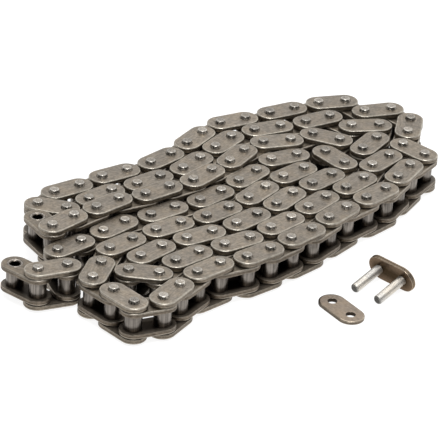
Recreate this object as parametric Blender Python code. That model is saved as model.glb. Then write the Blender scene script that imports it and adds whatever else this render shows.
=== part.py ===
"""A timing chain of flat steel plates, laid in a folded pile, with its loose connecting link beside it.

The chain lies on its side on the floor, so every hinge pin stands upright and every hinge turns about +Z.
Joints are numbered along the chain, from 0 at one open end. Link i joins joints i and i + 1.
Even links are inner links, two plates on two bushes. Odd links are outer links, two plates on two pins.
Lengths are metres.
"""

import math

import bmesh
import bpy
import numpy as np
from mathutils import Vector

MM = 0.001

# Driving dimensions of the chain
PITCH = 7.774 * MM
JOINTS = 122
PLATE_HEIGHT = 7.2 * MM
PLATE_THICKNESS = 1.3 * MM
COVER_THICKNESS = 1.0 * MM
INNER_WIDTH = 4.75 * MM
PIN_DIAMETER = 2.5 * MM
BORE_CLEARANCE = 0.1 * MM
BUSH_WALL = 0.995 * MM
HEAD_HEIGHT = 0.8 * MM
HEAD_SPREAD = 0.3 * MM
TIP_CHAMFER = 0.3 * MM
SIDE_PLAY = 0.2 * MM
PRESS_GAP = 0.02 * MM

# How the pile is laid
ROW_GAP = 0.108 * MM
RISE_STEP = 0.17 * MM
FIRST_LEVEL_LINK = 15
SETTLE_ROUNDS = 3000
GUIDE_PULL = 0.02

# How finely round forms are cut: the packed rows, and the pieces that stand free
ROW_END_STEPS = 3
ROW_SIDES = 6
FREE_END_STEPS = 4
FREE_SIDES = 8

# The loose connecting link, placed on the same plan as the guide points
COVER_MIDDLE = (3.98 * PITCH, -3.98 * PITCH)
COVER_HEADING = math.radians(-52.5)
PIN_TIPS_MIDDLE = (4.78 * PITCH, -3.06 * PITCH)
PINS_HEADING = math.radians(-131.5)
FLOOR_GAP = 0.01 * MM

# Guide points of the pile's plan in pitches, by joint number: where each row is laid and where it bends
GUIDES = {
    # third row from the back, from the open end to the fold at its right
    0: (-6.2, -1.7), 1: (-5.6, -2.5), 3: (-4.2, -1.1), 5: (-2.7, 0.2), 7: (-1.1, 1.4),
    8: (-0.6, 2.2), 10: (0.5, 3.8), 11: (1.1, 4.6), 12: (2.1, 4.9), 13: (2.9, 5.6), 14: (3.8, 5.3),
    15: (3.3, 4.4), 16: (4.0, 3.7),
    # sixth row, back to the left
    17: (3.5, 2.8), 20: (1.6, 0.5), 23: (-0.4, -1.7), 25: (-2.0, -2.9), 26: (-2.7, -3.7),
    27: (-3.0, -4.6),
    # seventh row, to the right
    28: (-2.0, -4.7), 29: (-1.5, -3.8), 31: (0.0, -2.5), 33: (1.4, -1.1), 34: (2.1, -0.4),
    37: (4.0, 1.9), 38: (4.6, 2.7), 39: (4.9, 3.6), 40: (5.5, 4.4), 41: (4.6, 4.8), 42: (5.1, 5.7),
    43: (5.2, 6.7),
    # second row, back to the left
    44: (4.2, 6.5), 45: (3.4, 7.1), 46: (2.6, 6.6), 48: (0.8, 5.7), 49: (0.0, 5.1), 51: (-1.0, 3.4),
    53: (-2.3, 1.9), 56: (-4.5, -0.1), 57: (-5.3, -0.8), 58: (-6.3, -0.5),
    # first row, at the back, to the right
    59: (-5.8, 0.3), 60: (-5.0, 0.8), 61: (-4.2, 1.5), 63: (-2.7, 2.8), 64: (-2.0, 3.6),
    66: (-1.0, 5.3), 67: (-0.4, 6.1), 69: (1.3, 7.1), 71: (3.0, 8.1), 72: (4.0, 8.4),
    73: (4.7, 7.7), 74: (5.6, 8.0), 75: (6.3, 7.3), 76: (6.2, 6.3), 77: (6.0, 5.3), 78: (6.8, 4.7),
    79: (6.2, 3.8),
    # eighth row, at the front, back to the left
    81: (5.4, 2.0), 83: (4.0, 0.5), 84: (3.4, -0.3), 87: (1.5, -2.5), 89: (-0.1, -3.8),
    90: (-0.8, -4.5), 91: (-1.3, -5.3), 92: (-1.8, -6.2), 93: (-2.7, -6.6), 94: (-3.4, -5.9),
    95: (-4.1, -5.2), 96: (-3.9, -4.2),
    # fifth row, to the right
    97: (-3.7, -3.3), 99: (-2.3, -1.9), 102: (0.0, 0.1), 104: (1.3, 1.6), 106: (2.6, 3.1),
    # fourth row, back to the left and out to the other open end
    107: (2.3, 4.1), 108: (1.4, 3.6), 110: (0.4, 1.9), 113: (-1.7, -0.2), 115: (-3.4, -1.3),
    117: (-4.7, -2.9), 118: (-5.4, -3.6), 119: (-5.0, -4.5), 120: (-5.9, -4.9), 121: (-6.7, -4.3),
}

# Runs of links in the packed pile, in the chain's own order; rows are counted from the back
SEPARATE_LINKS = {
    "row_3": range(2, 16),
    "row_8": range(78, 94),
}
STRANDS = {
    "row_6_strand": range(16, 28),
    "row_7_strand": range(28, 42),
    "row_2_strand": range(42, 58),
    "row_1_strand": range(58, 78),
    "row_5_strand": range(94, 108),
    "row_4_strand": range(108, 118),
}

# The last link, at the second open end
LAST_LINK = JOINTS - 2

# Heights of an outer link's parts above the foot of its pins
OUTER_LOW = HEAD_HEIGHT
INNER_LOW = OUTER_LOW + PLATE_THICKNESS + SIDE_PLAY
INNER_HIGH = INNER_LOW + PLATE_THICKNESS + INNER_WIDTH
OUTER_HIGH = INNER_HIGH + PLATE_THICKNESS + SIDE_PLAY
PIN_LENGTH = OUTER_HIGH + PLATE_THICKNESS + HEAD_HEIGHT

# Radii, each from the size of what it holds or runs in
PIN_RADIUS = PIN_DIAMETER / 2
PIN_HOLE_RADIUS = PIN_RADIUS + PRESS_GAP
HEAD_RADIUS = PIN_RADIUS + HEAD_SPREAD
BORE_RADIUS = PIN_RADIUS + BORE_CLEARANCE / 2
BUSH_RADIUS = BORE_RADIUS + BUSH_WALL
BUSH_HOLE_RADIUS = BUSH_RADIUS + PRESS_GAP

# Colour and roughness of each kind of steel piece
OUTER_LOOK = ((0.36, 0.33, 0.30), 0.38)
INNER_LOOK = ((0.33, 0.31, 0.28), 0.42)
PIN_LOOK = ((0.52, 0.50, 0.47), 0.22)
BUSH_LOOK = ((0.42, 0.40, 0.38), 0.28)
SMOOTH_ANGLE = math.radians(50)


def closest_on_links(plan, pairs):
    """Distance between the centre lines of each pair of links, and where along each one they are nearest."""
    first, second = pairs[:, 0], pairs[:, 1]
    ends = (plan[first], plan[first + 1], plan[second], plan[second + 1])
    candidates = []
    for point, start, finish in ((0, 2, 3), (1, 2, 3), (2, 0, 1), (3, 0, 1)):
        line = ends[finish] - ends[start]
        offset = ends[point] - ends[start]
        along = np.clip((offset * line).sum(1) / (line ** 2).sum(1), 0, 1)
        candidates.append((np.linalg.norm(offset - line * along[:, None], axis=1), along))
    nearest = np.array([distance for distance, _ in candidates]).argmin(0)
    distance = np.choose(nearest, [distance for distance, _ in candidates])
    zero = np.zeros(len(pairs))
    on_first = np.choose(nearest, [zero, zero + 1, candidates[2][1], candidates[3][1]])
    on_second = np.choose(nearest, [candidates[0][1], candidates[1][1], zero, zero + 1])
    return distance, on_first, on_second


def keep_links_apart(plan, pairs, spacing):
    """Push apart the links of each pair whose plates would overlap."""
    distance, on_first, on_second = closest_on_links(plan, pairs)
    close = distance < spacing
    first, second = pairs[close].T
    along_first, along_second = on_first[close][:, None], on_second[close][:, None]
    near_first = plan[first] * (1 - along_first) + plan[first + 1] * along_first
    near_second = plan[second] * (1 - along_second) + plan[second + 1] * along_second
    push = (near_first - near_second) * ((spacing - distance[close]) / distance[close] / 4)[:, None]
    moves = np.zeros_like(plan)
    for joint, along, sign in ((first, along_first, 1), (second, along_second, -1)):
        share = (1 - along) ** 2 + along ** 2
        np.add.at(moves, joint, sign * push * (1 - along) / share)
        np.add.at(moves, joint + 1, sign * push * along / share)
    plan += moves


def keep_links_long(plan):
    """Bring every link back to one pitch, first the inner links and then the outer ones."""
    for kind in (0, 1):
        start = np.arange(kind, JOINTS - 1, 2)
        span = plan[start + 1] - plan[start]
        length = np.linalg.norm(span, axis=1)[:, None]
        correction = span * (length - 1) / length / 2
        plan[start] += correction
        plan[start + 1] -= correction


def settled_plan():
    """Plan of all joints, in pitches: guided along the rows, with plates of one level side by side."""
    guided = sorted(GUIDES)
    targets = np.array([GUIDES[joint] for joint in guided])
    joints = np.arange(JOINTS)
    plan = np.column_stack([np.interp(joints, guided, targets[:, axis]) for axis in (0, 1)])
    pairs = np.array([
        (first, second)
        for first in range(JOINTS - 1)
        for second in range(first + 2, JOINTS - 1)
        if (second - first) % 2 == 0 or first < FIRST_LEVEL_LINK <= second
    ])
    spacing = (PLATE_HEIGHT + ROW_GAP) / PITCH
    for turn in range(SETTLE_ROUNDS):
        pull = GUIDE_PULL * max(0, 1 - 2 * turn / SETTLE_ROUNDS)
        plan[guided] += (targets - plan[guided]) * pull
        if turn % 25 == 0:
            near = pairs[closest_on_links(plan, pairs)[0] < 1.4 * spacing]
        keep_links_apart(plan, near, spacing)
        keep_links_long(plan)
    return plan


def rise(link):
    """Height of a link's feet: the squeezed-up row climbs to its open end joint by joint."""
    return RISE_STEP * max(0, FIRST_LEVEL_LINK - link)


def is_outer(link):
    return link % 2 == 1


def circle(centre, radius, sides):
    """Corners of a round pin, hole or bush, turned alike for all, so that pieces nest in their holes."""
    angles = [math.tau * side / sides for side in range(sides)]
    return [(centre[0] + radius * math.cos(angle), centre[1] + radius * math.sin(angle)) for angle in angles]


def bore(centre, sides):
    """Corners of a bush's bore, whose flats clear a pin at any angle."""
    return circle(centre, BORE_RADIUS / math.cos(math.pi / sides), sides)


def plate_outline(start, end, steps):
    """Outline of a link plate: straight edges and a round end about each joint."""
    heading = math.atan2(end[1] - start[1], end[0] - start[0])
    corners = []
    for centre, facing in ((end, heading), (start, heading + math.pi)):
        for step in range(steps + 1):
            angle = facing + math.pi * (step / steps - 0.5)
            corners.append((
                centre[0] + PLATE_HEIGHT / 2 * math.cos(angle),
                centre[1] + PLATE_HEIGHT / 2 * math.sin(angle),
            ))
    return corners


def add_ring(mesh, corners, height):
    return [mesh.verts.new((x, y, height)) for x, y in corners]


def add_wall(mesh, lower, upper):
    for corner in range(len(lower)):
        mesh.faces.new((lower[corner - 1], lower[corner], upper[corner], upper[corner - 1]))


def add_face(mesh, rings):
    """Fill the flat face that lies inside the first ring and outside the others."""
    edges = []
    for ring in rings:
        for corner in range(len(ring)):
            ends = (ring[corner - 1], ring[corner])
            edges.append(mesh.edges.get(ends) or mesh.edges.new(ends))
    bmesh.ops.triangle_fill(mesh, use_beauty=True, edges=edges, normal=(0, 0, 1))


def add_pierced_prism(mesh, outline, holes, low, high):
    """An upright solid with holes right through: a plate, or a bush as a round with one bore."""
    loops = [outline] + holes
    lower = [add_ring(mesh, loop, low) for loop in loops]
    upper = [add_ring(mesh, loop, high) for loop in loops]
    for below, above in zip(lower, upper):
        add_wall(mesh, below, above)
    add_face(mesh, lower)
    add_face(mesh, upper)


def add_outer_link(mesh, ends, foot):
    """Two plates on two riveted pins in one solid, with the pins left open between the plates.

    Gives, for each pin, the two rings at which it leaves the plates' inner faces.
    """
    outline = plate_outline(*ends, ROW_END_STEPS)
    levels = (OUTER_LOW, OUTER_LOW + PLATE_THICKNESS, OUTER_HIGH, OUTER_HIGH + PLATE_THICKNESS)
    edges = [add_ring(mesh, outline, foot + level) for level in levels]
    add_wall(mesh, edges[0], edges[1])
    add_wall(mesh, edges[2], edges[3])
    radii = (PIN_RADIUS, HEAD_RADIUS, PIN_RADIUS, PIN_RADIUS, HEAD_RADIUS, PIN_RADIUS)
    pins = []
    for end in ends:
        foot_ring, *rings, top_ring = [
            add_ring(mesh, circle(end, radius, ROW_SIDES), foot + level)
            for radius, level in zip(radii, (0, *levels, PIN_LENGTH))
        ]
        add_wall(mesh, foot_ring, rings[0])
        add_wall(mesh, rings[3], top_ring)
        mesh.faces.new(foot_ring)
        mesh.faces.new(top_ring)
        pins.append(rings)
    for level, edge in enumerate(edges):
        add_face(mesh, [edge] + [rings[level] for rings in pins])
    return [rings[1:3] for rings in pins]


def add_inner_link(mesh, ends, foot, pins):
    """Two plates on two bushes in one solid. Each end holds a pin, or is bored where its pin is None."""
    outline = plate_outline(*ends, ROW_END_STEPS)
    levels = (INNER_LOW, INNER_LOW + PLATE_THICKNESS, INNER_HIGH, INNER_HIGH + PLATE_THICKNESS)
    edges = [add_ring(mesh, outline, foot + level) for level in levels]
    add_wall(mesh, edges[0], edges[1])
    add_wall(mesh, edges[2], edges[3])
    bushes, mouths = [], []
    for end, pin in zip(ends, pins):
        bush = [add_ring(mesh, circle(end, BUSH_RADIUS, ROW_SIDES), foot + level) for level in levels[1:3]]
        add_wall(mesh, *bush)
        bushes.append(bush)
        mouth = circle(end, PIN_RADIUS, ROW_SIDES) if pin else bore(end, ROW_SIDES)
        low_mouth, high_mouth = [add_ring(mesh, mouth, foot + level) for level in (levels[0], levels[3])]
        if pin:
            add_wall(mesh, pin[0], low_mouth)
            add_wall(mesh, high_mouth, pin[1])
        else:
            add_wall(mesh, low_mouth, high_mouth)
        mouths.append((low_mouth, high_mouth))
    add_face(mesh, [edges[0]] + [mouth[0] for mouth in mouths])
    add_face(mesh, [edges[1]] + [bush[0] for bush in bushes])
    add_face(mesh, [edges[2]] + [bush[1] for bush in bushes])
    add_face(mesh, [edges[3]] + [mouth[1] for mouth in mouths])


def steel(name, colour, roughness):
    material = bpy.data.materials.new(name)
    material.use_nodes = True
    shader = material.node_tree.nodes["Principled BSDF"]
    shader.inputs["Base Color"].default_value = (*colour, 1)
    shader.inputs["Metallic"].default_value = 1
    shader.inputs["Roughness"].default_value = roughness
    return material


def finish_piece(name, mesh, origin, look, parent=None):
    """Make one named object of a finished mesh, with its origin where the piece turns or starts."""
    bmesh.ops.recalc_face_normals(mesh, faces=mesh.faces)
    bmesh.ops.translate(mesh, verts=mesh.verts, vec=-Vector(origin))
    data = bpy.data.meshes.new(name)
    mesh.to_mesh(data)
    mesh.free()
    data.shade_smooth()
    data.set_sharp_from_angle(angle=SMOOTH_ANGLE)
    data.materials.append(steel(name + "_steel", *look))
    piece = bpy.data.objects.new(name, data)
    bpy.context.collection.objects.link(piece)
    piece.location = origin
    piece.parent = parent
    return piece


def build_strand(name, links, look, plan):
    """A run of links in one solid: pins fill their bushes, and an end bush is bored for the next pin."""
    mesh = bmesh.new()
    pins = {}
    for link in links:
        if is_outer(link):
            first, second = add_outer_link(mesh, (plan[link], plan[link + 1]), rise(link))
            pins[link], pins[link + 1] = first, second
    for link in links:
        if not is_outer(link):
            held = [pins.pop(joint, None) for joint in (link, link + 1)]
            add_inner_link(mesh, (plan[link], plan[link + 1]), rise(link), held)
    for low_ring, high_ring in pins.values():
        add_wall(mesh, low_ring, high_ring)
    finish_piece(name, mesh, (*plan[links[0]], rise(links[0])), look)


def build_separate_links(row, links, plan):
    """A run of links, each its own solid, whose pins turn in the bored bushes of the links beside them."""
    for link in links:
        if is_outer(link):
            build_strand(f"{row}_outer_link_{link:03d}", [link], OUTER_LOOK, plan)
        else:
            build_strand(f"{row}_inner_link_{link:03d}", [link], INNER_LOOK, plan)


def build_plate(name, ends, hole_shape, low, thickness, origin, look, parent=None):
    mesh = bmesh.new()
    holes = [hole_shape(end) for end in ends]
    add_pierced_prism(mesh, plate_outline(*ends, FREE_END_STEPS), holes, low, low + thickness)
    return finish_piece(name, mesh, origin, look, parent)


def pin_hole(centre):
    return circle(centre, PIN_HOLE_RADIUS, FREE_SIDES)


def bush_hole(centre):
    return circle(centre, BUSH_HOLE_RADIUS, FREE_SIDES)


def riveted_end(plate_face, end):
    """Profile of a pin from a plate's outer face to its end: a tapered head, wider than the pin."""
    seat = plate_face + math.copysign(PRESS_GAP, end - plate_face)
    return [(PIN_RADIUS, seat), (HEAD_RADIUS, seat), (PIN_RADIUS, end)]


def chamfered_end(end):
    """Profile of a pin's plain lower tip."""
    return [(PIN_RADIUS, end + TIP_CHAMFER), (PIN_RADIUS - TIP_CHAMFER, end)]


def build_pin(name, centre, foot, lower_end, origin, parent=None):
    """A turned pin: the given profile of its lower end, its shank, and a riveted head at its top."""
    profile = lower_end[::-1] + riveted_end(OUTER_HIGH + PLATE_THICKNESS, PIN_LENGTH)
    mesh = bmesh.new()
    rings = [add_ring(mesh, circle(centre, radius, FREE_SIDES), foot + level) for radius, level in profile]
    for below, above in zip(rings, rings[1:]):
        add_wall(mesh, below, above)
    mesh.faces.new(rings[0])
    mesh.faces.new(rings[-1])
    finish_piece(name, mesh, origin, PIN_LOOK, parent)


def build_bush(name, centre, low, high, origin):
    mesh = bmesh.new()
    outline = circle(centre, BUSH_RADIUS, FREE_SIDES)
    add_pierced_prism(mesh, outline, [bore(centre, FREE_SIDES)], low, high)
    finish_piece(name, mesh, origin, BUSH_LOOK)


def build_free_outer_link(name, link, axis_joint, plan):
    """An outer link that turns: its two plates, and its two pins pressed through them."""
    ends = (plan[link], plan[link + 1])
    foot = rise(link)
    origin = (*plan[axis_joint], foot)
    for side, low in (("lower", OUTER_LOW), ("upper", OUTER_HIGH)):
        plate_name = f"{name}_{side}_outer_plate"
        build_plate(plate_name, ends, pin_hole, foot + low, PLATE_THICKNESS, origin, OUTER_LOOK)
    for joint, end in zip((link, link + 1), ends):
        build_pin(f"{name}_pin_{joint:03d}", end, foot, riveted_end(OUTER_LOW, 0), origin)


def build_free_inner_link(name, link, axis_joint, plan):
    """An inner link that turns: its two plates, and its two bushes pressed through them."""
    ends = (plan[link], plan[link + 1])
    foot = rise(link)
    origin = (*plan[axis_joint], foot)
    for side, low in (("lower", INNER_LOW), ("upper", INNER_HIGH)):
        plate_name = f"{name}_{side}_inner_plate"
        build_plate(plate_name, ends, bush_hole, foot + low, PLATE_THICKNESS, origin, INNER_LOOK)
    bush_levels = (foot + INNER_LOW, foot + INNER_HIGH + PLATE_THICKNESS)
    for joint, end in zip((link, link + 1), ends):
        build_bush(f"{name}_bush_{joint:03d}", end, *bush_levels, origin)


def build_loose_cover_plate():
    """The cover plate of the connecting link, flat on the floor."""
    ends = ((-PITCH / 2, 0), (PITCH / 2, 0))
    cover = build_plate("loose_cover_plate", ends, pin_hole, 0, COVER_THICKNESS, (0, 0, 0), OUTER_LOOK)
    cover.location = (*COVER_MIDDLE, 0)
    cover.rotation_euler = (0, 0, COVER_HEADING)


def build_loose_pin_plate():
    """The pin plate of the connecting link, leaning on its lower long edge and the tips of its pins.

    In its own frame the pins stand on their tips at Z = 0, and the plate is at their top.
    """
    lean = math.atan((PLATE_HEIGHT / 2 - PIN_RADIUS) / (OUTER_HIGH - TIP_CHAMFER))
    tip_height = PIN_RADIUS * math.cos(lean) - TIP_CHAMFER * math.sin(lean) + FLOOR_GAP
    frame = bpy.data.objects.new("loose_link_frame", None)
    bpy.context.collection.objects.link(frame)
    frame.location = (*PIN_TIPS_MIDDLE, tip_height)
    frame.rotation_euler = (math.pi / 2 - lean, 0, PINS_HEADING - math.pi / 2)
    ends = ((-PITCH / 2, 0), (PITCH / 2, 0))
    middle = (0, 0, 0)
    build_plate("loose_pin_plate", ends, pin_hole, OUTER_HIGH, PLATE_THICKNESS, middle, OUTER_LOOK, frame)
    for number, end in enumerate(ends, 1):
        build_pin(f"loose_pin_{number}", end, 0, chamfered_end(0), middle, frame)


def stand_on_origin():
    """Shift everything so that the overall box has its middle at X = Y = 0 and its foot at Z = 0."""
    bpy.context.view_layer.update()
    pieces = [piece for piece in bpy.context.scene.objects if piece.type == "MESH"]
    points = np.array([piece.matrix_world @ vertex.co for piece in pieces for vertex in piece.data.vertices])
    low, high = points.min(0), points.max(0)
    shift = Vector(((low[0] + high[0]) / 2, (low[1] + high[1]) / 2, low[2]))
    for piece in bpy.context.scene.objects:
        if piece.parent is None:
            piece.location -= shift


def main():
    for piece in list(bpy.context.scene.objects):
        bpy.data.objects.remove(piece)
    plan = settled_plan() * PITCH
    for row, links in SEPARATE_LINKS.items():
        build_separate_links(row, links, plan)
    for name, links in STRANDS.items():
        build_strand(name, links, OUTER_LOOK, plan)
    build_free_inner_link("end_a", 0, 1, plan)
    build_free_outer_link("end_a", 1, 2, plan)
    build_strand("end_b_second_inner_link", [LAST_LINK - 2], INNER_LOOK, plan)
    build_free_outer_link("end_b", LAST_LINK - 1, LAST_LINK - 1, plan)
    build_free_inner_link("end_b", LAST_LINK, LAST_LINK, plan)
    build_loose_cover_plate()
    build_loose_pin_plate()
    stand_on_origin()


main()
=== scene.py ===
"""Looks of the timing chain: rounded stamped plates, riveted pin heads, bushes and their steels."""

import math

import bmesh
import bpy
import numpy as np
from mathutils import Matrix, Quaternion, Vector


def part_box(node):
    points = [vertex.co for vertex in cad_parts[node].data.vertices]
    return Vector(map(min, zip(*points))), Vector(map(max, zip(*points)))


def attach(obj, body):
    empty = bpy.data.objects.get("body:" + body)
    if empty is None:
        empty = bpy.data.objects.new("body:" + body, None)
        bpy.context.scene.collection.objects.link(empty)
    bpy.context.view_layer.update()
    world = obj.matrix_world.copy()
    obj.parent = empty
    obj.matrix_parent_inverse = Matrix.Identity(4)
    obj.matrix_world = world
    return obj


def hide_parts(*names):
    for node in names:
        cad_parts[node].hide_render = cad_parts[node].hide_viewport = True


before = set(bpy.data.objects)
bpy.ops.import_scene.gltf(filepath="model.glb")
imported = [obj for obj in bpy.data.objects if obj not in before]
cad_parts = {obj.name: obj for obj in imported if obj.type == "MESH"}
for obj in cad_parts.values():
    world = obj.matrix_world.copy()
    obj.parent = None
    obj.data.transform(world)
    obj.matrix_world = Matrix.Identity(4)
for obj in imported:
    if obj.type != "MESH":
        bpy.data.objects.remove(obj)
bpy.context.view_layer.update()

MM = 0.001

# Camera, in the photograph's frame of 440 by 440 pixels
PHOTO_WIDTH = 440
FOCAL_PIXELS = 3196
SENSOR_WIDTH = 36
CAMERA_PLACE = (4.52 * MM, -736.88 * MM, 414.75 * MM)
CAMERA_ELEVATION = math.radians(29.187)
CAMERA_YAW = math.radians(0.484)
CAMERA_ROLL = math.radians(3.297)
NEAREST_SEEN = 0.05
FARTHEST_SEEN = 10

# Floor
FLOOR_WHITE = (0.30, 0.30, 0.30)
FLOOR_ROUGHNESS = 0.9
FLOOR_GLOW = 0.88
FLOOR_WIDTH = 8
FLOOR_DROP = 0.02 * MM

# Surroundings: bright toward one side and dim away from it, with a soft change between two cosines
BRIGHT_SIDE = (0.22, 0.77, 0.60)
DIM_LEVEL = 0.20
BRIGHT_LEVEL = 1.0
DIM_BELOW = 0.15
BRIGHT_ABOVE = 0.75
SURROUNDINGS_COLOUR = (1.0, 0.99, 0.98)

# Lamps: name, place, size and power. Each looks at the middle of the chain.
LAMPS = (
    ("front_softbox", (0.05, -0.40, 0.75), (0.35, 0.22), 3.5),
    ("rear_softbox", (-0.10, 0.45, 0.85), (0.40, 0.25), 1.0),
)

# Round forms
END_STEPS = 18
PIN_SIDES = 28
BUSH_SIDES = 36
SHARP_ANGLE = math.radians(40)

# How much of each kind of surface a corner is: rim with a painted highlight, wall partly its sheared finish
# and partly painted shade, inside oil darkened with painted shade between the parts, and hole painted shade
# in holes and bores, which also carries the cover plate's painted reflection
SHADES = ("rim", "wall", "inside", "hole")

# Edge of a stamped plate, from its outer face to its inner one. Each point is the inset from the outline in
# millimetres, the depth as a share of the thickness, how much the point is rim, which takes a painted
# highlight, and how much it is wall, which takes the darker wall colour, partly painted shade.
PLATE_EDGE = (
    (0.48, 0.0, 0.0, 0.0), (0.32, 0.0, 0.3, 0.0), (0.17, 0.03, 0.8, 0.0), (0.06, 0.10, 1.0, 0.0),
    (0.0, 0.20, 0.5, 0.5), (0.0, 0.46, 0.0, 1.0), (0.05, 0.50, 0.0, 1.0), (0.06, 0.55, 0.0, 1.0),
    (0.02, 0.60, 0.3, 0.7), (0.02, 0.84, 0.0, 1.0), (0.07, 0.95, 0.7, 0.3), (0.20, 1.0, 0.0, 0.0),
)

UNDERSIDE_INSET = 0.30 * MM

# Sizes that the frame doesn't hold
BUSH_NECK_RADIUS = 2.08 * MM
SEAT_GAP = 0.015 * MM
BORE_PLAY = 0.07 * MM
BORE_MOUTH = 0.30 * MM
INNER_PLATE_MOUTH = 0.04 * MM
COVER_MOUTH = 0.03 * MM
LEAST_MOUTH_DEPTH = 0.03 * MM

# Finding the pins in the solids: how deep a top is, and how far apart its corners are at most, in pin radii
TOP_DEPTH = 0.01 * MM
ONE_PIN_REACH = 2.2

# How a number becomes a tone, and what sets the tones of a link's pieces and of the loose pieces apart
TONE_STEP = 12.9898
TONE_SPIN = 43758.5453
UPPER_PLATE_SEED = 0.5
PIN_SEED = 0.1
BUSH_SEED = 0.3
PIN_PLATE_TONE = 0.35
COVER_PLATE_TONE = 0.8
LOOSE_PIN_TONES = (0.6, 0.7)

# Grain of the steels, as noise scales per metre
CLOUD_SCALE = 260
MOTTLE_SCALE = 1300
SPECKLE_SCALE = 4200
DENT_SCALE = 1500
LINE_SCALES = (500, 2700, 2600)
UPRIGHT_SCALES = (2300, 2300, 60)

# How the grain and the painted reflection streaks show. Each range is the stretch of a noise that runs from
# one end of its effect to the other.
TONE_SIDESTEP = 3.7
CLOUD_RANGE = (0.25, 0.75)
CLOUD_SHADES = (0.90, 1.10)
GRAIN_RANGE = (0.32, 0.68)
REFLECTION_STREAK_RANGE = (0.34, 0.66)
WALL_REFLECTION_STREAK_RANGE = (0.40, 0.60)
WARM_RANGE = (0.40, 0.64)
WARMER = (1.03, 0.99, 0.93)
DENT_RANGE = (0.30, 0.62)
SPECKLE_ROUGHNESS = 0.16
MOTTLE_ROUGHNESS = 0.14
WALL_ROUGHNESS = 0.05
SPECKLE_HEIGHT = 0.6
LINE_HEIGHT = 0.9
BUMP_STRENGTH = 0.35
BUMP_DISTANCE = 0.03 * MM

# What all steels share: the oily faces between the plates, darkened further as painted shade, how far their
# oil hides the metal, and the painted shade in the holes
OILY_INSIDE_AND_PAINTED_SHADE = (0.110, 0.090, 0.070)
OIL_FILM = 0.8
# Painted shade for holes and bores, also used for the painted reflection on the cover plate's far left edge
PAINTED_HOLE_SHADE_AND_EDGE_REFLECTION = (0.034, 0.026, 0.019)

# The painted reflection on the far left edge of the cover plate, a dark band painted into its colour: which
# way it faces, how dark it is, the cosines between which it fades in around the plate, and the insets from
# the outline between which it fades out
FAR_LEFT = (-0.80, 0.60)
FAR_EDGE_REFLECTION_DARKNESS = 0.95
FAR_EDGE_COSINES = (0.1, 0.5)
FAR_EDGE_INSETS = (0.33 * MM, 0.47 * MM)
LEAST_REACH = 0.01 * MM


def node_points(node):
    """All corners of a CAD node, as rows of numbers."""
    return np.array([vertex.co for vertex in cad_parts[node].data.vertices], float)


def box_middle(node):
    low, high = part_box(node)
    return (low + high) / 2


def measure_levels():
    """Sizes of the chain, measured on the free end that lies level."""
    pin_low, pin_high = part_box("end_b_pin_119")
    across = box_middle("end_b_pin_119") - box_middle("end_b_pin_120")
    normal = np.array((-across.y, across.x)) / across.length
    plate = node_points("end_b_lower_outer_plate")[:, :2] @ normal
    bush_low, bush_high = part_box("end_b_bush_121")
    pin = node_points("end_b_pin_119")
    pin_top = pin[pin[:, 2] > pin_high.z - TOP_DEPTH]
    levels = {
        "pitch": across.length,
        "plate_height": plate.max() - plate.min(),
        "pin_length": pin_high.z - pin_low.z,
        "pin_radius": np.ptp(pin_top[:, 0]) / 2,
        "head_radius": (pin_high.x - pin_low.x) / 2,
        "bush_radius": (bush_high.x - bush_low.x) / 2,
    }
    for name in ("lower_outer", "lower_inner", "upper_inner", "upper_outer"):
        low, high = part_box(f"end_b_{name}_plate")
        levels[name] = low.z
    levels["thickness"] = high.z - low.z
    return levels


SIZE = measure_levels()
PITCH = SIZE["pitch"]
THICKNESS = SIZE["thickness"]
PLATE_RADIUS = SIZE["plate_height"] / 2
PIN_RADIUS = SIZE["pin_radius"]
HEAD_RADIUS = SIZE["head_radius"]
BUSH_RADIUS = SIZE["bush_radius"]
BORE_RADIUS = PIN_RADIUS + BORE_PLAY


def pins_in(node):
    """Middle of each pin's top in a node, with its height."""
    points = node_points(node)
    tops = points[points[:, 2] > points[:, 2].max() - TOP_DEPTH]
    groups = []
    for point in tops:
        for group in groups:
            if np.linalg.norm(group[0][:2] - point[:2]) < ONE_PIN_REACH * PIN_RADIUS:
                group.append(point)
                break
        else:
            groups.append([point])
    return [(np.array(group).min(0) + np.array(group).max(0)) / 2 for group in groups]


def trace_joints():
    """Walk along the chain from one open end to the other: each next joint is exactly one pitch away."""
    found = []
    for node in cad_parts:
        if "outer_link" in node or "strand" in node or "_pin_" in node and not node.startswith("loose"):
            found += [(pin, node) for pin in pins_in(node)]
    places = np.array([pin[:2] for pin, _ in found])
    here = np.array(box_middle("end_a_bush_000")[:2])
    joints = [(here, None, None)]
    free = np.ones(len(found), bool)
    while free.any():
        off = np.abs(np.linalg.norm(places - here, axis=1) - PITCH)
        off[~free] = PITCH
        nearest = int(off.argmin())
        free[nearest] = False
        pin, node = found[nearest]
        here = pin[:2]
        joints.append((here, pin[2] - SIZE["pin_length"], node))
    joints.append((np.array(box_middle("end_b_bush_121")[:2]), None, None))
    return joints


JOINTS = trace_joints()
LINKS = range(len(JOINTS) - 1)


def is_outer(link):
    return link % 2 == 1


def foot_of(link):
    """Height of a link above the floor."""
    if is_outer(link):
        return JOINTS[link][1]
    if link == 0:
        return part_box("end_a_bush_000")[0].z - SIZE["lower_inner"]
    if link == LINKS[-1]:
        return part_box("end_b_bush_121")[0].z - SIZE["lower_inner"]
    return (JOINTS[link][1] + JOINTS[link + 1][1]) / 2


def link_matrix(link):
    """Place of a link: its middle at foot height, with X along the link."""
    start, end = JOINTS[link][0], JOINTS[link + 1][0]
    heading = math.atan2(end[1] - start[1], end[0] - start[0])
    middle = (start + end) / 2
    return Matrix.Translation((middle[0], middle[1], foot_of(link))) @ Matrix.Rotation(heading, 4, "Z")


def tone_of(number):
    """A steady share between 0 and 1 that differs from piece to piece."""
    return math.sin(number * TONE_STEP) * TONE_SPIN % 1


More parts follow.
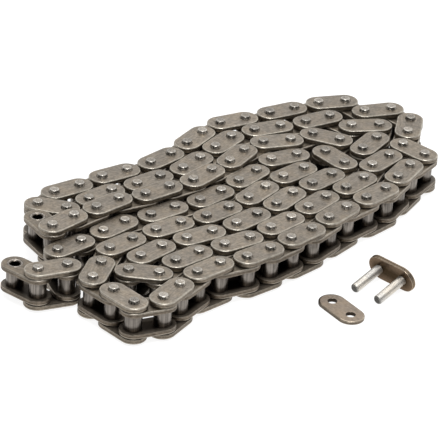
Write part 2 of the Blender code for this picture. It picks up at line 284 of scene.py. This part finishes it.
def stadium(radius):
    """Outline of a link plate about the two joints, in the link's own frame."""
    corners = []
    for side in (1, -1):
        for step in range(END_STEPS + 1):
            angle = math.pi * (step / END_STEPS - 0.5)
            corners.append((side * (PITCH / 2 + radius * math.cos(angle)), side * radius * math.sin(angle)))
    return corners


def ring_about(x, radius, sides):
    return [
        (x + radius * math.cos(math.tau * side / sides), radius * math.sin(math.tau * side / sides))
        for side in range(sides)
    ]


class Template:
    """One form as corners and faces, and how much rim, wall, oily inside and hole each corner is."""

    def __init__(self):
        self.mesh = bmesh.new()
        self.layers = [self.mesh.verts.layers.float.new(shade) for shade in SHADES]

    def ring(self, corners, height, rim=0.0, wall=0.0, inside=0.0, hole=0.0):
        made = []
        for x, y in corners:
            vertex = self.mesh.verts.new((x, y, height))
            for layer, value in zip(self.layers, (rim, wall, inside, hole)):
                vertex[layer] = value
            made.append(vertex)
        return made

    def band(self, lower, upper):
        for corner in range(len(lower)):
            self.mesh.faces.new((lower[corner - 1], lower[corner], upper[corner], upper[corner - 1]))

    def fill(self, rings):
        edges = []
        for ring in rings:
            for corner in range(len(ring)):
                ends = (ring[corner - 1], ring[corner])
                edges.append(self.mesh.edges.get(ends) or self.mesh.edges.new(ends))
        bmesh.ops.triangle_fill(self.mesh, use_beauty=True, edges=edges, normal=(0, 0, 1))

    def done(self):
        bmesh.ops.recalc_face_normals(self.mesh, faces=self.mesh.faces)
        self.mesh.verts.index_update()
        corners = np.array([vertex.co for vertex in self.mesh.verts])
        shades = np.array([[vertex[layer] for layer in self.layers] for vertex in self.mesh.verts])
        faces = [[vertex.index for vertex in face.verts] for face in self.mesh.faces]
        self.mesh.free()
        return corners, faces, shades


def plate_template(hole_radius, mouth, thickness, upside_down=False, inside=1.0):
    """A stamped link plate from Z = 0 up: rounded upper rim, sheared wall in two bands, and two holes. The
    rim takes a painted highlight, the wall a darker colour that is partly painted shade, the hole walls
    painted shade, and the underside, unless inside is 0, the oily colour with painted shade.
    """
    form = Template()
    rings = []
    for inset, depth, rim, wall in PLATE_EDGE:
        rings.append(form.ring(stadium(PLATE_RADIUS - inset * MM), (1 - depth) * thickness, rim, wall))
    # The underside takes the oily colour, darkened with painted shade
    rings.append(form.ring(stadium(PLATE_RADIUS - UNDERSIDE_INSET), 0, inside=inside))
    for above, below in zip(rings, rings[1:]):
        form.band(below, above)
    tops, bottoms = [rings[0]], [rings[-1]]
    for side in (-1, 1):
        x = side * PITCH / 2
        edge = form.ring(ring_about(x, hole_radius + mouth, PIN_SIDES), thickness)
        depth = max(mouth, LEAST_MOUTH_DEPTH)
        # The hole walls take painted shade
        throat = form.ring(ring_about(x, hole_radius, PIN_SIDES), thickness - depth, hole=1.0)
        foot = form.ring(ring_about(x, hole_radius, PIN_SIDES), 0, hole=1.0)
        form.band(throat, edge)
        form.band(foot, throat)
        tops.append(edge)
        bottoms.append(foot)
    form.fill(tops)
    form.fill(bottoms)
    corners, faces, shades = form.done()
    if upside_down:
        corners = corners * (1, -1, -1) + (0, 0, thickness)
    return corners, faces, shades


def turned_template(profile, sides, open_ended=False):
    """A turned form about Z. The profile lists radius, height, rim, wall, inside and hole, foot first."""
    form = Template()
    rings = [form.ring(ring_about(0, radius, sides), height, *shades) for radius, height, *shades in profile]
    for lower, upper in zip(rings, rings[1:]):
        form.band(lower, upper)
    if open_ended:
        form.band(rings[-1], rings[0])
    else:
        form.mesh.faces.new(rings[0])
        form.mesh.faces.new(rings[-1])
    return form.done()


def riveted_head():
    """Half profile of a riveted pin, from its end to the plate: a dished face, a bevel and a short wall. The
    bevel takes a painted highlight, the wall a darker colour that is partly painted shade, and the foot
    painted shade where it meets the plate.
    """
    proud = SIZE["lower_outer"]
    return [
        (0.30 * MM, 0.06 * MM, 0.0, 0.0, 0.0, 0.0),
        (0.66 * MM, 0.04 * MM, 0.0, 0.0, 0.0, 0.0),
        (0.90 * MM, 0.0, 0.2, 0.0, 0.0, 0.0),
        (PIN_RADIUS - 0.20 * MM, 0.0, 0.5, 0.0, 0.0, 0.0),
        (PIN_RADIUS - 0.08 * MM, 0.04 * MM, 1.0, 0.0, 0.0, 0.0),
        (PIN_RADIUS, 0.14 * MM, 0.4, 0.6, 0.0, 0.0),
        (PIN_RADIUS + 0.05 * MM, 0.24 * MM, 0.0, 1.0, 0.0, 0.0),
        (PIN_RADIUS + 0.12 * MM, 0.50 * MM, 0.0, 1.0, 0.0, 0.0),
        # The foot of the head takes the oily colour as painted shade where it meets the plate
        (HEAD_RADIUS - 0.06 * MM, proud - 0.10 * MM, 0.0, 1.0, 0.3, 0.0),
        (HEAD_RADIUS, proud - SEAT_GAP, 0.0, 1.0, 1.0, 0.0),
        (PIN_RADIUS, proud - SEAT_GAP, 0.0, 1.0, 1.0, 0.0),
        (PIN_RADIUS, proud, 0.0, 0.0, 0.0, 0.0),
    ]


def pin_template(tip):
    """A pin that stands on the given tip, with a riveted head at its top."""
    length = SIZE["pin_length"]
    top = [(radius, length - depth, *shades) for radius, depth, *shades in reversed(riveted_head())]
    return turned_template(tip + top, PIN_SIDES)


def ground_tip():
    """Half profile of a loose pin's free end: flat, with a narrow chamfer. The flat end takes the dark wall
    colour as painted shade, and the chamfer partly the rim colour, which on the loose pins is a painted
    shade.
    """
    return [
        (0.40 * MM, 0.0, 0.0, 1.0),
        (PIN_RADIUS - 0.34 * MM, 0.0, 0.0, 1.0),
        (PIN_RADIUS - 0.28 * MM, 0.02 * MM, 0.3, 0.8),
        (PIN_RADIUS - 0.04 * MM, 0.28 * MM, 0.6, 0.6),
        (PIN_RADIUS, 0.40 * MM, 0.0, 0.0),
    ]


def bush_template():
    """A bush with a shoulder against each inner plate and a countersunk bore, its foot at Z = 0. The bore
    takes painted shade and its mouth a painted highlight.
    """
    span = SIZE["upper_inner"] + THICKNESS - SIZE["lower_inner"]
    inner = THICKNESS + SEAT_GAP
    half = (
        (BORE_RADIUS, BORE_MOUTH, 0.0, 0.0, 0.0, 1.0),
        (BORE_RADIUS + BORE_MOUTH, 0.04 * MM, 0.4, 0.0),
        (BORE_RADIUS + BORE_MOUTH + 0.06 * MM, 0.0, 0.4, 0.0),
        (BUSH_NECK_RADIUS - 0.05 * MM, 0.0, 0.2, 0.0),
        (BUSH_NECK_RADIUS, 0.05 * MM, 0.0, 0.0),
        (BUSH_NECK_RADIUS, inner, 0.0, 1.0),
        (BUSH_RADIUS - 0.08 * MM, inner, 0.3, 1.0),
        (BUSH_RADIUS, inner + 0.10 * MM, 0.0, 1.0),
    )
    top = [(radius, span - height, *shades) for radius, height, *shades in reversed(half)]
    return turned_template(list(half) + top, BUSH_SIDES, open_ended=True)


def piece_of(name, placed, material, body, node):
    """One object of several placed forms. Each entry is a form, its place and its tone."""
    corners, faces, shades, own_places = [], [], [], []
    start = 0
    for (points, polygons, point_shades), place, tone in placed:
        matrix = np.array(place)
        corners.append(points @ matrix[:3, :3].T + matrix[:3, 3])
        faces += [[start + corner for corner in polygon] for polygon in polygons]
        shades.append(np.column_stack([point_shades, np.full(len(points), tone)]))
        own_places.append(points)
        start += len(points)
    data = bpy.data.meshes.new(name)
    data.from_pydata(np.concatenate(corners).tolist(), [], faces)
    for layer, values in zip((*SHADES, "tone"), np.concatenate(shades).T):
        attribute = data.attributes.new(layer, "FLOAT", "POINT")
        attribute.data.foreach_set("value", np.ascontiguousarray(values, np.float32))
    place = data.attributes.new("own_place", "FLOAT_VECTOR", "POINT")
    place.data.foreach_set("vector", np.concatenate(own_places).astype(np.float32).ravel())
    data.shade_smooth()
    data.set_sharp_from_angle(angle=SHARP_ANGLE)
    data.materials.append(material)
    piece = bpy.data.objects.new(name, data)
    bpy.context.collection.objects.link(piece)
    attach(piece, body)
    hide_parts(node)
    return piece


class Nodes:
    """Short hand for wiring a material."""

    def __init__(self, name):
        self.material = bpy.data.materials.new(name)
        self.material.use_nodes = True
        self.tree = self.material.node_tree
        self.shader = self.tree.nodes["Principled BSDF"]

    def add(self, kind, **inputs):
        node = self.tree.nodes.new(kind)
        for key, value in inputs.items():
            self.put(node.inputs[key.replace("_", " ")], value)
        return node

    def put(self, socket, value):
        if isinstance(value, bpy.types.NodeSocket):
            self.tree.links.new(value, socket)
        else:
            socket.default_value = value

    def vector(self, operation, first, second):
        node = self.tree.nodes.new("ShaderNodeVectorMath")
        node.operation = operation
        self.put(node.inputs[0], first)
        self.put(node.inputs["Scale" if operation == "SCALE" else 1], second)
        return node.outputs[0]

    def attribute(self, name):
        node = self.tree.nodes.new("ShaderNodeAttribute")
        node.attribute_name = name
        return node

    def math(self, operation, first, second=0.0, third=0.0):
        node = self.tree.nodes.new("ShaderNodeMath")
        node.operation = operation
        for socket, value in zip(node.inputs, (first, second, third)):
            self.put(socket, value)
        return node.outputs[0]

    def mix(self, share, first, second):
        node = self.tree.nodes.new("ShaderNodeMix")
        node.data_type = "RGBA"
        self.put(node.inputs[0], share)
        self.put(node.inputs[6], first)
        self.put(node.inputs[7], second)
        return node.outputs[2]

    def noise(self, place, scale, detail=3.0, roughness=0.6):
        node = self.add("ShaderNodeTexNoise", Vector=place, Scale=scale, Detail=detail, Roughness=roughness)
        return node.outputs[0]

    def stretch(self, place, scale):
        node = self.tree.nodes.new("ShaderNodeMapping")
        self.put(node.inputs["Vector"], place)
        node.inputs["Scale"].default_value = scale
        return node.outputs[0]

    def ramp(self, value, low, high, out_low=0.0, out_high=1.0):
        node = self.tree.nodes.new("ShaderNodeMapRange")
        for socket, part in zip(node.inputs, (value, low, high, out_low, out_high)):
            self.put(socket, part)
        return node.outputs[0]


def steel(
    name, colour, painted_rim_colour, wall_finish_and_shade_colour, roughness, grain=0.20, reflection_streaks=0.0, wall_reflection_streaks=0.0, pits=0.0,
    edge_tint=(1, 1, 1), spread=0.07,
):
    """Worn, oiled steel: grain and cloudy tint, painted rim colours (mostly highlight), darker sheared walls
    that are partly painted shade, dark oily insides and holes with painted shade, and painted reflection
    streaks.
    """
    nodes = Nodes(name)
    own = nodes.attribute("own_place").outputs["Vector"]
    tone, rim, wall, inside, hole = (nodes.attribute(shade).outputs["Fac"] for shade in ("tone", *SHADES))
    shift = nodes.tree.nodes.new("ShaderNodeCombineXYZ")
    nodes.put(shift.inputs[0], tone)
    nodes.put(shift.inputs[1], nodes.math("MULTIPLY", tone, TONE_SIDESTEP))
    place = nodes.vector("ADD", own, shift.outputs[0])
    clouds = nodes.noise(place, CLOUD_SCALE, detail=3.0)
    mottle = nodes.noise(place, MOTTLE_SCALE, detail=2.0)
    lines = nodes.noise(nodes.stretch(place, LINE_SCALES), scale=1.0, detail=3.0)
    upright = nodes.noise(nodes.stretch(place, UPRIGHT_SCALES), scale=1.0, detail=2.0)
    speckle = nodes.noise(place, SPECKLE_SCALE, detail=2.0, roughness=0.7)
    own_tone = nodes.ramp(tone, 0, 1, 1 - spread, 1 + spread)
    shade = nodes.math("MULTIPLY", own_tone, nodes.ramp(clouds, *CLOUD_RANGE, *CLOUD_SHADES))
    shade = nodes.math("MULTIPLY", shade, nodes.ramp(mottle, *GRAIN_RANGE, 1 - grain, 1 + grain))
    shade = nodes.math("MULTIPLY", shade, nodes.ramp(lines, *GRAIN_RANGE, 1 - grain, 1 + grain))
    # Painted reflection streaks: upright bands lighter and darker than the steel
    if reflection_streaks:
        shade = nodes.math("MULTIPLY", shade, nodes.ramp(upright, *REFLECTION_STREAK_RANGE, 1 - reflection_streaks, 1 + reflection_streaks))
    # Painted reflection streaks on the walls only, such as round the pin heads
    if wall_reflection_streaks:
        striped = nodes.ramp(upright, *WALL_REFLECTION_STREAK_RANGE, 1 - wall_reflection_streaks, 1 + wall_reflection_streaks)
        striped = nodes.math("ADD", 1, nodes.math("MULTIPLY", wall, nodes.math("SUBTRACT", striped, 1)))
        shade = nodes.math("MULTIPLY", shade, striped)
    warmer = [part * gain for part, gain in zip(colour, WARMER)]
    base = nodes.mix(nodes.ramp(clouds, *WARM_RANGE), (*colour, 1), (*warmer, 1))
    # The darker wall colour, partly the sheared finish and partly painted shade
    base = nodes.mix(wall, base, (*wall_finish_and_shade_colour, 1))
    # The rim colour: a painted highlight on most steels, and a painted shade on the loose pins' chamfers
    base = nodes.mix(rim, base, (*painted_rim_colour, 1))
    # The oily inside colour, darkened with painted shade between the parts
    base = nodes.mix(inside, base, (*OILY_INSIDE_AND_PAINTED_SHADE, 1))
    # Painted shade in holes and bores, and the cover plate's painted reflection
    base = nodes.mix(hole, base, (*PAINTED_HOLE_SHADE_AND_EDGE_REFLECTION, 1))
    nodes.put(nodes.shader.inputs["Base Color"], nodes.vector("SCALE", base, shade))
    nodes.put(nodes.shader.inputs["Metallic"], nodes.math("MULTIPLY_ADD", inside, -OIL_FILM, 1.0))
    nodes.shader.inputs["Specular Tint"].default_value = (*edge_tint, 1)
    rough = nodes.math("MULTIPLY_ADD", speckle, SPECKLE_ROUGHNESS, roughness - SPECKLE_ROUGHNESS / 2)
    rough = nodes.math("SUBTRACT", rough, MOTTLE_ROUGHNESS / 2)
    rough = nodes.math("MULTIPLY_ADD", mottle, MOTTLE_ROUGHNESS, rough)
    nodes.put(nodes.shader.inputs["Roughness"], nodes.math("MULTIPLY_ADD", wall, WALL_ROUGHNESS, rough))
    height = nodes.math("MULTIPLY_ADD", speckle, SPECKLE_HEIGHT, nodes.math("MULTIPLY", lines, LINE_HEIGHT))
    if pits:
        dents = nodes.ramp(nodes.noise(place, DENT_SCALE, detail=1.0, roughness=0.5), *DENT_RANGE)
        height = nodes.math("MULTIPLY_ADD", dents, pits, height)
    bump = nodes.add("ShaderNodeBump", Strength=BUMP_STRENGTH, Distance=BUMP_DISTANCE, Height=height)
    nodes.put(nodes.shader.inputs["Normal"], bump.outputs[0])
    return nodes.material


OUTER_STEEL = steel(
    "outer_plate_steel", (0.264, 0.234, 0.197), (0.50, 0.465, 0.40), (0.153, 0.121, 0.088), 0.38
)
INNER_STEEL = steel(
    "inner_plate_steel", (0.216, 0.188, 0.153), (0.44, 0.40, 0.34), (0.143, 0.112, 0.082), 0.40
)
PIN_STEEL = steel(
    "pin_steel", (0.335, 0.312, 0.28), (0.56, 0.535, 0.49), (0.27, 0.245, 0.21), 0.29,
    wall_reflection_streaks=0.65, pits=2.0, spread=0.26,
)
BUSH_STEEL = steel(
    "bush_steel", (0.21, 0.19, 0.17), (0.50, 0.46, 0.41), (0.20, 0.18, 0.16), 0.27, grain=0.06, reflection_streaks=0.4
)
LOOSE_PIN_STEEL = steel(
    "loose_pin_steel", (0.64, 0.62, 0.585), (0.40, 0.39, 0.37), (0.095, 0.09, 0.082), 0.50, grain=0.06
)
COVER_STEEL = steel(
    "cover_plate_steel", (0.318, 0.265, 0.216), (0.50, 0.43, 0.34), (0.13, 0.105, 0.08), 0.36, grain=0.12
)
BRONZED_STEEL = steel(
    "pin_plate_steel", (0.150, 0.112, 0.084), (0.52, 0.43, 0.33), (0.15, 0.12, 0.09), 0.36, grain=0.15,
    edge_tint=(0.85, 0.68, 0.52),
)

OUTER_PLATE = plate_template(PIN_RADIUS + SEAT_GAP, 0.0, THICKNESS)
OUTER_PLATE_LOW = plate_template(PIN_RADIUS + SEAT_GAP, 0.0, THICKNESS, upside_down=True)
INNER_PLATE = plate_template(BUSH_NECK_RADIUS + SEAT_GAP, INNER_PLATE_MOUTH, THICKNESS)
INNER_PLATE_LOW = plate_template(BUSH_NECK_RADIUS + SEAT_GAP, INNER_PLATE_MOUTH, THICKNESS, upside_down=True)
PIN = pin_template(riveted_head())
LOOSE_PIN = pin_template(ground_tip())
BUSH = bush_template()


def lifted(place, height):
    return place @ Matrix.Translation((0, 0, height))


def plates_of(links):
    placed = []
    for link in links:
        place = link_matrix(link)
        if is_outer(link):
            placed.append((OUTER_PLATE_LOW, lifted(place, SIZE["lower_outer"]), tone_of(link)))
            placed.append((OUTER_PLATE, lifted(place, SIZE["upper_outer"]), tone_of(link + UPPER_PLATE_SEED)))
        else:
            placed.append((INNER_PLATE_LOW, lifted(place, SIZE["lower_inner"]), tone_of(link)))
            placed.append((INNER_PLATE, lifted(place, SIZE["upper_inner"]), tone_of(link + UPPER_PLATE_SEED)))
    return placed


def end_places(link):
    return [link_matrix(link) @ Matrix.Translation((side * PITCH / 2, 0, 0)) for side in (-1, 1)]


def pins_of(links):
    placed = []
    for link in links:
        for side, place in enumerate(end_places(link)):
            turn = Matrix.Rotation(math.tau * tone_of(link + side), 4, "Z")
            placed.append((PIN, place @ turn, tone_of(link + PIN_SEED + side)))
    return placed


def bushes_of(links):
    return [
        (BUSH, lifted(place, SIZE["lower_inner"]), tone_of(link + BUSH_SEED + side))
        for link in links
        for side, place in enumerate(end_places(link))
    ]


def dress_run(node, links):
    """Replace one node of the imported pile, which holds these links."""
    outer = [link for link in links if is_outer(link)]
    inner = [link for link in links if not is_outer(link)]
    body = "packed_chain" if not node.startswith("end_b") else "end_b_second_inner_link"
    if outer:
        piece_of(node + "_outer_plates", plates_of(outer), OUTER_STEEL, body, node)
        piece_of(node + "_pins", pins_of(outer), PIN_STEEL, body, node)
    if inner:
        piece_of(node + "_inner_plates", plates_of(inner), INNER_STEEL, body, node)
        piece_of(node + "_bushes", bushes_of(inner), BUSH_STEEL, body, node)


def dress_packed_chain():
    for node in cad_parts:
        held = [joint for joint, (_, _, owner) in enumerate(JOINTS) if owner == node]
        if "strand" in node:
            dress_run(node, range(min(held) - 1, max(held)))
        elif "_link_" in node:
            dress_run(node, [int(node[-3:])])


def dress_free_link(end, link):
    """Replace each piece of a link that turns."""
    kind = "outer" if is_outer(link) else "inner"
    body = f"{end}_{kind}_link"
    plates = plates_of([link])
    material = OUTER_STEEL if is_outer(link) else INNER_STEEL
    for side, placed in zip(("lower", "upper"), plates):
        node = f"{end}_{side}_{kind}_plate"
        piece_of(node + "_dressed", [placed], material, body, node)
    round_pieces = pins_of([link]) if is_outer(link) else bushes_of([link])
    word, steel_of = ("pin", PIN_STEEL) if is_outer(link) else ("bush", BUSH_STEEL)
    for joint, placed in zip((link, link + 1), round_pieces):
        node = f"{end}_{word}_{joint:03d}"
        piece_of(node + "_dressed", [placed], steel_of, body, node)


def loose_frame():
    """Place of the leaning pin plate, read off its two pins: the middle of the tips, with Z up the pins."""
    axes = []
    for node in ("loose_pin_1", "loose_pin_2"):
        points = node_points(node)
        centre = points.mean(0)
        _, _, directions = np.linalg.svd(points - centre)
        axis = directions[0] * math.copysign(1, directions[0][2])
        along = (points - centre) @ axis
        middle = (points[along > 0].mean(0) + points[along < 0].mean(0)) / 2
        axes.append((middle - axis * SIZE["pin_length"] / 2, axis))
    (first, axis), (second, _) = axes
    across = (second - first) / np.linalg.norm(second - first)
    matrix = Matrix(np.column_stack([across, np.cross(axis, across), axis]).tolist()).to_4x4()
    return Matrix.Translation((first + second) / 2) @ matrix


def dress_pin_plate():
    place = loose_frame()
    form = plate_template(PIN_RADIUS + SEAT_GAP, 0.0, THICKNESS, inside=0.0)
    plate = [(form, lifted(place, SIZE["upper_outer"]), PIN_PLATE_TONE)]
    name = "loose_pin_plate"
    piece_of(name + "_dressed", plate, BRONZED_STEEL, name, name)
    for number, side, tone in zip((1, 2), (-1, 1), LOOSE_PIN_TONES):
        pin = [(LOOSE_PIN, place @ Matrix.Translation((side * PITCH / 2, 0, 0)), tone)]
        node = f"loose_pin_{number}"
        piece_of(node + "_dressed", pin, LOOSE_PIN_STEEL, name, node)


def paint_far_edge_reflection(form, heading):
    """Paint a reflection of something dark onto the far left edge of the cover plate, through its hole shade.
    """
    corners, faces, shades = form
    outward = corners[:, :2].copy()
    outward[:, 0] -= np.clip(corners[:, 0], -PITCH / 2, PITCH / 2)
    reach = np.linalg.norm(outward, axis=1).clip(min=LEAST_REACH)
    left = np.array(Matrix.Rotation(-heading, 2) @ Vector(FAR_LEFT))
    facing = np.interp(outward @ left / reach, FAR_EDGE_COSINES, (0.0, FAR_EDGE_REFLECTION_DARKNESS))
    near_edge = np.interp(PLATE_RADIUS - reach, FAR_EDGE_INSETS, (1.0, 0.0))
    hole = SHADES.index("hole")
    shades[:, hole] = np.maximum(shades[:, hole], facing * near_edge)
    return corners, faces, shades


def dress_cover_plate():
    name = "loose_cover_plate"
    low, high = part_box(name)
    points = node_points(name)
    _, _, directions = np.linalg.svd(points[:, :2] - points[:, :2].mean(0))
    heading = math.atan2(directions[0][1], directions[0][0])
    place = Matrix.Translation((*box_middle(name)[:2], low.z)) @ Matrix.Rotation(heading, 4, "Z")
    form = plate_template(PIN_RADIUS + SEAT_GAP, COVER_MOUTH, high.z - low.z, inside=0.0)
    # A painted reflection on the far left edge
    form = paint_far_edge_reflection(form, heading)
    cover = [(form, place, COVER_PLATE_TONE)]
    piece_of(name + "_dressed", cover, COVER_STEEL, name, name)


def make_camera():
    data = bpy.data.cameras.new("camera")
    data.sensor_width = SENSOR_WIDTH
    data.lens = FOCAL_PIXELS * SENSOR_WIDTH / PHOTO_WIDTH
    data.clip_start = NEAREST_SEEN
    data.clip_end = FARTHEST_SEEN
    camera = bpy.data.objects.new("camera", data)
    bpy.context.collection.objects.link(camera)
    camera.location = CAMERA_PLACE
    turn = Quaternion((0, 0, 1), CAMERA_YAW) @ Quaternion((1, 0, 0), math.pi / 2 - CAMERA_ELEVATION)
    camera.rotation_mode = "QUATERNION"
    camera.rotation_quaternion = turn @ Quaternion((0, 0, 1), CAMERA_ROLL)
    bpy.context.scene.camera = camera


def add_lamp(name, place, size, power):
    """A soft rectangular lamp that looks at the middle of the chain."""
    data = bpy.data.lights.new(name, "AREA")
    data.shape = "RECTANGLE"
    data.size, data.size_y = size
    data.energy = power
    lamp = bpy.data.objects.new(name, data)
    bpy.context.collection.objects.link(lamp)
    lamp.location = place
    lamp.rotation_euler = (-Vector(place)).to_track_quat("-Z", "Y").to_euler()


def make_floor():
    """A white floor that also shows in the steel, and keeps the soft shadow of the chain."""
    nodes = Nodes("floor_white")
    path = nodes.tree.nodes.new("ShaderNodeLightPath")
    seen = nodes.math("MAXIMUM", path.outputs["Is Camera Ray"], path.outputs["Is Glossy Ray"])
    nodes.shader.inputs["Base Color"].default_value = (*FLOOR_WHITE, 1)
    nodes.shader.inputs["Roughness"].default_value = FLOOR_ROUGHNESS
    nodes.shader.inputs["Specular IOR Level"].default_value = 0.0
    nodes.shader.inputs["Emission Color"].default_value = (1, 1, 1, 1)
    nodes.put(nodes.shader.inputs["Emission Strength"], nodes.math("MULTIPLY", seen, FLOOR_GLOW))
    half = FLOOR_WIDTH / 2
    data = bpy.data.meshes.new("floor")
    corners = [(-half, -half, 0), (half, -half, 0), (half, half, 0), (-half, half, 0)]
    data.from_pydata(corners, [], [(0, 1, 2, 3)])
    data.materials.append(nodes.material)
    floor = bpy.data.objects.new("floor", data)
    bpy.context.collection.objects.link(floor)
    floor.location.z = -FLOOR_DROP


def make_world():
    """Surroundings that are bright behind and above the chain and dim at the sides and in front."""
    world = bpy.data.worlds.new("studio_surroundings")
    world.use_nodes = True
    tree = world.node_tree
    direction = tree.nodes.new("ShaderNodeTexCoord").outputs["Generated"]
    toward = tree.nodes.new("ShaderNodeVectorMath")
    toward.operation = "DOT_PRODUCT"
    tree.links.new(direction, toward.inputs[0])
    toward.inputs[1].default_value = BRIGHT_SIDE
    level = tree.nodes.new("ShaderNodeMapRange")
    level.interpolation_type = "SMOOTHSTEP"
    values = (DIM_BELOW, BRIGHT_ABOVE, DIM_LEVEL, BRIGHT_LEVEL)
    for name, value in zip(("From Min", "From Max", "To Min", "To Max"), values):
        level.inputs[name].default_value = value
    tree.links.new(toward.outputs["Value"], level.inputs["Value"])
    background = tree.nodes["Background"]
    background.inputs["Color"].default_value = (*SURROUNDINGS_COLOUR, 1)
    tree.links.new(level.outputs["Result"], background.inputs["Strength"])
    bpy.context.scene.world = world


def make_studio():
    make_floor()
    make_world()
    for lamp in LAMPS:
        add_lamp(*lamp)
    bpy.context.scene.view_settings.view_transform = "Standard"


make_camera()
dress_packed_chain()
dress_free_link("end_a", 0)
dress_free_link("end_a", 1)
dress_run("end_b_second_inner_link", [118])
dress_free_link("end_b", 119)
dress_free_link("end_b", 120)
dress_pin_plate()
dress_cover_plate()
make_studio()
